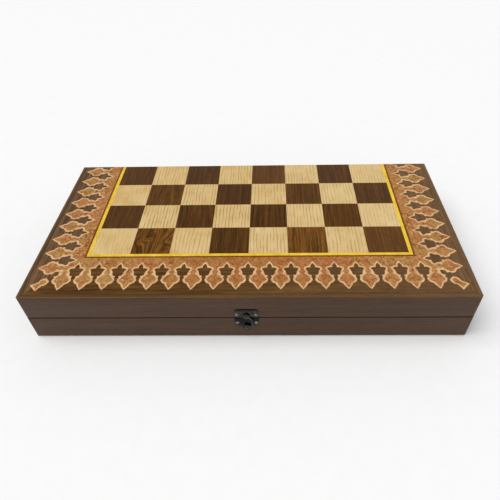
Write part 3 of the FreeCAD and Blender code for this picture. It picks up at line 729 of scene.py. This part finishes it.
for half, low, high, lit, parity in (
        ("lid", case["top"] - case["skin"], case["top"], case["top"], 0),
        ("base", 0.0, case["skin"], 0.0, 1)):
    frontBorder, sideBorder = splitBorder(borderWaveSolid(low, high))
    yellowEdge = strings["yellow"]
    for name, solid, wood, slot, node in (
            ("WalnutSquares", squares("walnut", parity, low, high, lit), squareWalnut,
             "walnut_veneer", "_walnut_veneer"),
            ("FrontBorder", frontBorder, borderWalnut, "walnut_veneer", "_walnut_veneer"),
            ("SideBorder", sideBorder, sideBorderWalnut, "walnut_veneer", "_walnut_veneer"),
            ("AshSquares", squares("ash", 1 - parity, low, high, lit), squareAsh,
             "ash_veneer", "_light_veneer"),
            ("LeafOutline", outlineSolid(low, high), outlineMaple, "ash_veneer", "_light_veneer"),
            ("BurlBand", burlSolid(low, high), bandBurl, "burl_veneer", "_burl_veneer"),
            ("YellowString", flatSolid([metres(horseshoe(0, yellowEdge))], low, high),
             yellowString, "yellow_string", "_string_line"),
            ("DarkString",
             flatSolid([metres(horseshoe(yellowEdge, yellowEdge + strings["shade"]))], low, high),
             shadeString, "yellow_string", "_string_line")):
        pieceFrom(half + name, solid, wood, half, half + node)
print("marquetry laid")


rail = {
    "frontRadius": 4.5 * mm, "rearRadius": 1.2 * mm, "topArris": 2.4 * mm, "footArris": 2.6 * mm,
    "facets": 4, "smooth": 30,
    # Height and depth of each plane.
    "frontSeam": [(0.7 * mm, 9.0 * mm), (1.15 * mm, 0.8 * mm)],
    "sideSeam": [(0.45 * mm, 3.0 * mm), (1.4 * mm, 1.3 * mm)],
    "backSeam": [(0.4 * mm, 2.4 * mm), (0.7 * mm, 0.6 * mm)],
}


def roundEdge(solid, corner, first, second, radius, fromTurn=0, toTurn=90):
    # Rounds the edge between two outward directions, a plane at a time.
    first = Vector(first)
    second = Vector(second)
    centre = Vector(corner) - (first + second) * radius
    for k in range(rail["facets"]):
        turn = math.radians(fromTurn + (toTurn - fromTurn) * (k + 0.5) / rail["facets"])
        normal = first * math.cos(turn) + second * math.sin(turn)
        cutAway(solid, centre + normal * radius, normal)


def easeSeam(solid, outward, upper, seam):
    # Planes the meeting edge back, first deep and thin, then short and steep: a dark joint line.
    away = -1 if upper else 1
    for height, depth in rail[seam]:
        slope = height / depth
        at = Vector((outward[0] * case["halfLength"], outward[1] * case["rear"],
                     case["seam"] - away * height))
        cutAway(solid, at, Vector((outward[0] * slope, outward[1] * slope, away)).normalized())


for half, outside, up, arris in (("lid", case["top"], 1, rail["topArris"]),
                                 ("base", 0.0, -1, rail["footArris"])):
    frontRail = nodeCopy(half + "_front_rail")
    endRails = nodeCopy(half + "_end_rails")
    front, rear = case["front"], case["rear"]
    roundEdge(frontRail, (0, front, outside), (0, -1, 0), (0, 0, up), arris)
    for side in (-1, 1):
        end = side * case["halfLength"]
        roundEdge(endRails, (end, 0, outside), (side, 0, 0), (0, 0, up), arris)
        roundEdge(endRails, (end, front, 0), (side, 0, 0), (0, -1, 0), rail["frontRadius"], 0, 45)
        roundEdge(frontRail, (end, front, 0), (side, 0, 0), (0, -1, 0), rail["frontRadius"], 45, 90)
        roundEdge(endRails, (end, rear, 0), (side, 0, 0), (0, 1, 0), rail["rearRadius"])
        easeSeam(endRails, (side, 0), half == "lid", "sideSeam")
    easeSeam(frontRail, (0, -1), half == "lid", "frontSeam")
    easeSeam(endRails, (0, 1), half == "lid", "backSeam")
    backRail = nodeCopy(half + "_back_rail")
    easeSeam(backRail, (0, 1), half == "lid", "backSeam")
    for name, solid, wood, node in (("FrontRail", frontRail, railWalnut, "_front_rail"),
                                    ("EndRails", endRails, sideRailWalnut, "_end_rails"),
                                    ("BackRail", backRail, railWalnut, "_back_rail")):
        pieceFrom(half + name, solid, wood, half, half + node, rail["smooth"])
print("rails planed")


field = {"reach": 190 * mm, "gap": 2 * mm, "outline": 1.4 * mm, "points": 6}
field["pitch"] = 2 * (case["rear"] - case["rail"]) / field["points"]


def pointOutline(side, y, inset):
    # One tapering point, drawn in from its edges by the inset.
    wall = case["halfLength"] - case["rail"]
    halfBase = (field["pitch"] - field["gap"]) / 2
    slope = math.atan2(halfBase, field["reach"])
    base = wall - inset
    tip = wall - field["reach"] + inset / math.sin(slope)
    half = (base - tip) * math.tan(slope)
    return [(side * base, y - half, True), (side * base, y + half, True), (side * tip, y, True)]


def pointPieces(low, high, pick):
    # Points of one wood, and the outlines round all of them.
    fills = []
    outlines = []
    for side in (-1, 1):
        for k in range(field["points"]):
            y = -case["rear"] + case["rail"] + (k + 0.5) * field["pitch"]
            inner = pointOutline(side, y, field["outline"])
            if (k + (side > 0)) % 2 == pick:
                fills.append(flatSolid([inner], low, high))
            outlines.append(flatSolid([pointOutline(side, y, 0), inner], low, high))
    return joined(*fills), joined(*outlines)


for half in ("lid", "base"):
    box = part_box(half + "_points")
    low, high = box[0].z, box[1].z
    pale, outlines = pointPieces(low, high, 0)
    deep, spare = pointPieces(low, high, 1)
    spare.free()
    for name, solid, wood in (("PalePoints", pale, pointAsh), ("DeepPoints", deep, bandBurl),
                              ("PointOutlines", outlines, outlineMaple)):
        pieceFrom(half + name, solid, wood, half, half + "_points")
print("playing field inlaid")


turning = {
    "steps": 44,
    # Rim to middle of one face, as fractions of the radius, and the depth below the face.
    "face": [(1.0, 2.4), (0.985, 1.3), (0.955, 0.55), (0.91, 0.1), (0.87, 0.0), (0.80, 0.0),
             (0.785, 0.35), (0.755, 0.35), (0.74, 0.0), (0.64, 0.0), (0.62, 0.12), (0.56, 0.62),
             (0.5, 0.8), (0.26, 0.8), (0.245, 0.6), (0.215, 0.6), (0.2, 0.8), (0.0, 0.8)],
}


def spun(profile, steps):
    # Solid turned about Z from (radius, height) pairs that start and end on the axis.
    solid = bmesh.new()
    verts = [solid.verts.new((r, 0, z)) for r, z in profile]
    edges = [solid.edges.new(pair) for pair in zip(verts, verts[1:])]
    bmesh.ops.spin(solid, geom=verts + edges, cent=(0, 0, 0), axis=(0, 0, 1), dvec=(0, 0, 0),
                   angle=math.tau, steps=steps, use_merge=True)
    bmesh.ops.remove_doubles(solid, verts=solid.verts, dist=meshing["merge"])
    bmesh.ops.recalc_face_normals(solid, faces=solid.faces)
    return solid


def middle(box):
    return (box[0] + box[1]) / 2


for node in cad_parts:
    if not node.startswith("stone_"):
        continue
    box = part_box(node)
    radius = (box[1].x - box[0].x) / 2
    thick = box[1].z - box[0].z
    upper = [(r * radius, thick / 2 - depth * mm) for r, depth in turning["face"]]
    profile = upper[::-1] + [(r, -z) for r, z in upper]
    solid = moved(spun(profile, turning["steps"]), Matrix.Translation(middle(box)))
    light = node.startswith("stone_light")
    pieceFrom(node.replace("stone", "turned"), solid, stoneBoxwood if light else stoneRosewood,
              node, node)
print("stones turned")

dice = {
    "size": 12 * mm, "round": 1.6 * mm, "pip": 1.15 * mm, "spread": 3.1 * mm, "smooth": 30,
    "pipDeep": 0.24 * mm, "pipSunk": 0.1 * mm,
    "turn": {"die_1": 20, "die_2": -35},
    "flip": {"die_1": (0, 0), "die_2": (90, 90)},
}
pipLayout = {
    1: [(0, 0)],
    2: [(-1, -1), (1, 1)],
    3: [(-1, -1), (0, 0), (1, 1)],
    4: [(-1, -1), (-1, 1), (1, -1), (1, 1)],
    5: [(-1, -1), (-1, 1), (1, -1), (1, 1), (0, 0)],
    6: [(-1, -1), (-1, 0), (-1, 1), (1, -1), (1, 0), (1, 1)],
}
# The turn about X and about Y that brings each number's face upward.
pipFaces = {1: (0, 0), 6: (180, 0), 2: (90, 0), 5: (-90, 0), 3: (0, 90), 4: (0, -90)}


def dieSolid(node):
    half = dice["size"] / 2
    solid = bmesh.new()
    bmesh.ops.create_cube(solid, size=dice["size"])
    bevelEdges(solid, solid.edges[:], dice["round"], 4)
    for number, turns in pipFaces.items():
        spin = (Matrix.Rotation(math.radians(turns[1]), 4, "Y")
                @ Matrix.Rotation(math.radians(turns[0]), 4, "X"))
        for across, along in pipLayout[number]:
            at = Vector((across * dice["spread"], along * dice["spread"], half - dice["pipSunk"]))
            made = bmesh.ops.create_cone(solid, cap_ends=True, segments=16, radius1=dice["pip"],
                                         radius2=dice["pip"], depth=dice["pipDeep"],
                                         matrix=spin @ Matrix.Translation(at))
            for face in {f for v in made["verts"] for f in v.link_faces}:
                face.material_index = 1
    flipX, flipY = dice["flip"][node]
    place = (Matrix.Translation(middle(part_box(node)))
             @ Matrix.Rotation(math.radians(dice["turn"][node]), 4, "Z")
             @ Matrix.Rotation(math.radians(flipX), 4, "X")
             @ Matrix.Rotation(math.radians(flipY), 4, "Y"))
    return moved(solid, place)


bone = dieBone()
ink = pipInk()
for node in ("die_1", "die_2"):
    piece = pieceFrom(node.replace("_", "Pips"), dieSolid(node), bone, node, node,
                      dice["smooth"])
    piece.data.materials.append(ink)
print("dice marked")


clasp = {
    "steps": 32, "headSteps": 24, "rivetSmooth": 50,
    "edge": 0.13 * mm,
    "hookEdge": 0.28 * mm,
    "screwAcross": 10.6 * mm,
    "screwAbove": {"lid": 1.6 * mm, "base": 5.5 * mm},
    "screwHead": 2.2 * mm,
    "screwDome": 0.5 * mm,
    "plate": 0.6 * mm,
    "slot": 0.28 * mm,
    "slotDepth": 0.3 * mm,
    "slotTurn": {"lid": (25, 70), "base": (-35, 10)},
}
towardFront = Matrix.Rotation(math.radians(90), 4, "X")


def slotted(head, floor):
    # Two halves of a screw head either side of its slot, and the slot's floor.
    other = head.copy()
    cutAway(head, Vector((0, clasp["slot"], 0)), Vector((0, -1, 0)))
    cutAway(other, Vector((0, -clasp["slot"], 0)), Vector((0, 1, 0)))
    return joined(head, other, floor)


def slottedHead(radius, dome, slotTurn):
    # A domed head cut by a slot, standing on z = 0.
    foot = -0.2 * mm
    profile = [(0.0, foot), (radius, foot), (radius, 0.0)]
    for k in range(1, 6):
        lean = math.radians(90 * k / 5)
        profile.append((radius * math.cos(lean), dome * math.sin(lean)))
    inner = radius * 0.98
    level = dome - clasp["slotDepth"]
    floor = spun([(0.0, foot), (inner, foot), (inner, level), (0.0, level)], clasp["headSteps"])
    return moved(slotted(spun(profile, clasp["headSteps"]), floor),
                 Matrix.Rotation(math.radians(slotTurn), 4, "Z"))


def rivetSolid(node):
    # Shank, collar, neck and a smooth dome with a small flat ring round its foot.
    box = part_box(node)
    front = box[0].y
    collar = case["front"] - clasp["plate"] - 0.6 * mm
    dome = (box[1].x - box[0].x) / 2
    neck = dome * 0.5
    back = case["front"] - front
    profile = [(0.0, -2 * mm), (neck, -2 * mm), (neck, clasp["plate"]),
               (2.6 * mm, clasp["plate"]), (2.6 * mm, case["front"] - collar),
               (neck, case["front"] - collar), (neck, back - 1.0 * mm),
               (dome * 0.97, back - 1.0 * mm), (dome, back - 0.85 * mm),
               (dome * 0.98, back - 0.66 * mm), (dome * 0.88, back - 0.5 * mm),
               (dome * 0.74, back - 0.46 * mm),
               (dome * 0.68, back - 0.36 * mm), (dome * 0.52, back - 0.14 * mm),
               (dome * 0.3, back - 0.03 * mm), (0.0, back)]
    solid = spun(profile, clasp["steps"])
    at = Vector((middle(box).x, case["front"], middle(box).z))
    return moved(solid, Matrix.Translation(at) @ towardFront)


for half, rivet in (("lid", "clasp_pivot"), ("base", "clasp_stud")):
    softened(half + "ClaspPlate", f"clasp_{half}_plate", plateBlack, half,
             clasp["edge"])
    pieceFrom(half + "Rivet", rivetSolid(rivet), claspBlack, half, rivet,
              clasp["rivetSmooth"])
    at = middle(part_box(rivet))
    heads = []
    for side, slotTurn in zip((-1, 1), clasp["slotTurn"][half]):
        place = Vector((at.x + side * clasp["screwAcross"], case["front"] - clasp["plate"],
                        at.z + clasp["screwAbove"][half]))
        heads.append(moved(slottedHead(clasp["screwHead"], clasp["screwDome"], slotTurn),
                           Matrix.Translation(place) @ towardFront))
    pieceFrom(half + "ClaspScrews", joined(*heads), screwBlack, half,
              half + "_screws")
softened("claspHook", "clasp_hook", claspBlack, "clasp_hook", clasp["hookEdge"])
print("clasp fitted")


hinge = {"across": 150 * mm, "screwAcross": 18 * mm, "screwIn": 6 * mm, "head": 2.2 * mm,
         "edge": 0.15 * mm}


def countersunk(radius):
    # Flat slotted head a touch below the leaf's face.
    depth = 0.05 * mm
    head = spun([(0.0, -1.0 * mm), (radius * 0.6, -1.0 * mm), (radius * 0.98, -depth),
                 (0.0, -depth)], clasp["headSteps"])
    floor = spun([(0.0, -1.1 * mm), (radius * 0.6, -1.1 * mm), (radius * 0.85, -0.4 * mm),
                  (0.0, -0.4 * mm)], clasp["headSteps"])
    return slotted(head, floor)


for half, facing in (("lid", math.pi), ("base", 0.0)):
    heads = []
    for side in (-1, 1):
        for end in (-1, 1):
            at = Vector((side * hinge["across"] + end * hinge["screwAcross"],
                         case["rear"] - hinge["screwIn"], case["seam"]))
            spin = Matrix.Rotation(math.radians(40 * side + 25 * end), 4, "Z")
            heads.append(moved(countersunk(hinge["head"]), Matrix.Translation(at)
                               @ Matrix.Rotation(facing, 4, "X") @ spin))
    pieceFrom(half + "HingeScrews", joined(*heads), hingeBrass, half,
              half + "_screws")
    softened(half + "HingeLeaves", f"hinge_{half}_leaves", hingeBrass, half,
             hinge["edge"])
print("hinges fitted")


camera = {
    "lens": 32.87,
    "place": (26.9 * mm, -444.1 * mm, 435.9 * mm),
    "right": (0.9997, 0.0135, -0.0215),
    "ahead": (-0.0246, 0.7257, -0.6875),
    "shift": (-0.0207, 0.0026),
}


def setCamera():
    data = bpy.data.cameras.new("view")
    data.lens = camera["lens"]
    data.sensor_width = 36.0
    data.shift_x, data.shift_y = camera["shift"]
    data.clip_start = 0.01
    holder = bpy.data.objects.new("view", data)
    bpy.context.scene.collection.objects.link(holder)
    back = -Vector(camera["ahead"]).normalized()
    right = Vector(camera["right"]).normalized()
    up = back.cross(right).normalized()
    right = up.cross(back)
    turn = Matrix((right, up, back)).transposed()
    holder.matrix_world = Matrix.Translation(camera["place"]) @ turn.to_4x4()
    bpy.context.scene.camera = holder


def floorFinish():
    finish = Finish("paleFloor")
    place = finish.place()
    speckle = finish.noise(place, 60.0, 3.0)
    finish.set(Base_Color=finish.ramp(speckle, [(0.3, (246, 246, 246)), (0.7, (248, 248, 248))]),
               Roughness=0.85)
    return finish.material


def setFloor():
    solid = bmesh.new()
    bmesh.ops.create_grid(solid, x_segments=1, y_segments=1, size=6.0)
    made = bpy.data.meshes.new("floor")
    solid.to_mesh(made)
    solid.free()
    floor = bpy.data.objects.new("floor", made)
    floor.location.z = -0.2 * mm
    made.materials.append(floorFinish())
    bpy.context.scene.collection.objects.link(floor)


lights = {
    "world": 0.45,
    "backdrop": 1.0,
    "sun": {"toward": (-0.4, -0.12, 0.9), "angle": 50, "strength": 2.05},
}


def setLights():
    world = bpy.data.worlds.new("studio")
    bpy.context.scene.world = world
    world.use_nodes = True
    bench = NodeBench(world.node_tree)
    plain = (1.0, 1.0, 1.0, 1.0)
    sky = bench.node("ShaderNodeBackground", {}, {"Color": plain, "Strength": lights["world"]})
    back = bench.node("ShaderNodeBackground", {}, {"Color": plain, "Strength": lights["backdrop"]})
    seen = bench.node("ShaderNodeLightPath", {}, {}, "Is Camera Ray")
    either = bench.node("ShaderNodeMixShader", {}, {0: seen, 1: sky, 2: back})
    bench.feed(world.node_tree.nodes["World Output"].inputs["Surface"], either)
    data = bpy.data.lights.new("sun", "SUN")
    data.angle = math.radians(lights["sun"]["angle"])
    data.energy = lights["sun"]["strength"]
    lamp = bpy.data.objects.new("sun", data)
    bpy.context.scene.collection.objects.link(lamp)
    lamp.rotation_mode = "QUATERNION"
    lamp.rotation_quaternion = Vector(lights["sun"]["toward"]).to_track_quat("Z", "Y")
    bpy.context.scene.view_settings.view_transform = "Standard"


setCamera()
setFloor()
setLights()
print("camera, floor and lights set")


# Finishes for the CAD nodes that stay.
for node, finish in (("lid_panel", trayWalnut), ("base_panel", trayWalnut),
                     ("hinge_pins", hingeBrass)):
    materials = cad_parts[node].data.materials
    materials.clear()
    materials.append(finish)
